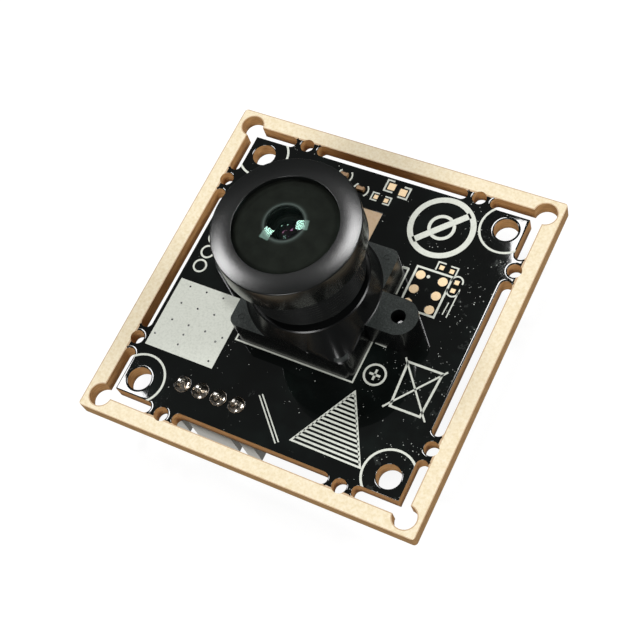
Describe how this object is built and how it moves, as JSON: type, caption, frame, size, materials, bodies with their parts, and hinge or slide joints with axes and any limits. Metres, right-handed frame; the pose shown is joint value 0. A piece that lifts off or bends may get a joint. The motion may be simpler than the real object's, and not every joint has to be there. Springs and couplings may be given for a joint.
{
  "type": "board camera module",
  "caption": "Square circuit board in a break-off frame with a screwed-on lens holder, a wide-angle threaded lens and a pin header connector underneath.",
  "frame": {"origin": "centre of the four mounting holes, on the board's underside", "axes": "+Z along the lens axis, out of the front glass; +X along the line through the holder's two ears; +Y away from the connector"},
  "size_m": [0.045, 0.045, 0.0288],
  "materials": {
    "bare_laminate": "bare glass-epoxy laminate",
    "black_solder_mask": "glossy black lacquer",
    "white_legend_ink": "matt white ink",
    "gold_plated_copper": "thin gold plating",
    "black_moulded_nylon": "moulded black nylon",
    "zinc_plated_steel": "zinc plated",
    "filter_glass": "coated filter glass",
    "sensor_ceramic": "dark ceramic package",
    "cover_glass": "clear cover glass",
    "black_anodised_aluminium": "satin black anodised",
    "coated_lens_glass": "green coated optical glass",
    "black_acetal": "matt black",
    "blackened_foil": "matt black",
    "ivory_nylon": "moulded ivory nylon",
    "tinned_brass": "tin plated",
    "tin_solder": "reflowed solder",
    "black_epoxy": "moulded epoxy",
    "nickel_plated_can": "satin nickel",
    "pressed_ferrite": "pressed powder",
    "tan_ceramic": "fired ceramic with tinned ends",
    "black_film_resistor": "glazed film with tinned ends"
  },
  "bodies": {
    "root": {"circuit_board": "bare_laminate", "solder_mask_top": "black_solder_mask", "solder_mask_bottom": "black_solder_mask", "printed_legend": "white_legend_ink", "contact_pads": "gold_plated_copper", "lens_holder": "black_moulded_nylon", "holder_screws": "zinc_plated_steel", "infrared_filter": "filter_glass", "image_sensor": "sensor_ceramic", "sensor_glass": "cover_glass", "lens_barrel": "black_anodised_aluminium", "front_cap": "black_anodised_aluminium", "front_element": "coated_lens_glass", "second_element": "coated_lens_glass", "lens_spacer": "black_acetal", "third_element": "coated_lens_glass", "aperture_plate": "blackened_foil", "fourth_element": "coated_lens_glass", "rear_spacer": "black_acetal", "rear_element": "coated_lens_glass", "connector_housing": "ivory_nylon", "connector_pins": "tinned_brass", "solder_joints": "tin_solder", "image_processor": "black_epoxy", "flash_memory": "black_epoxy", "crystal": "nickel_plated_can", "voltage_regulators": "black_epoxy", "power_inductors": "pressed_ferrite", "chip_capacitors": "tan_ceramic", "chip_resistors": "black_film_resistor"}
  },
  "joints": []
}
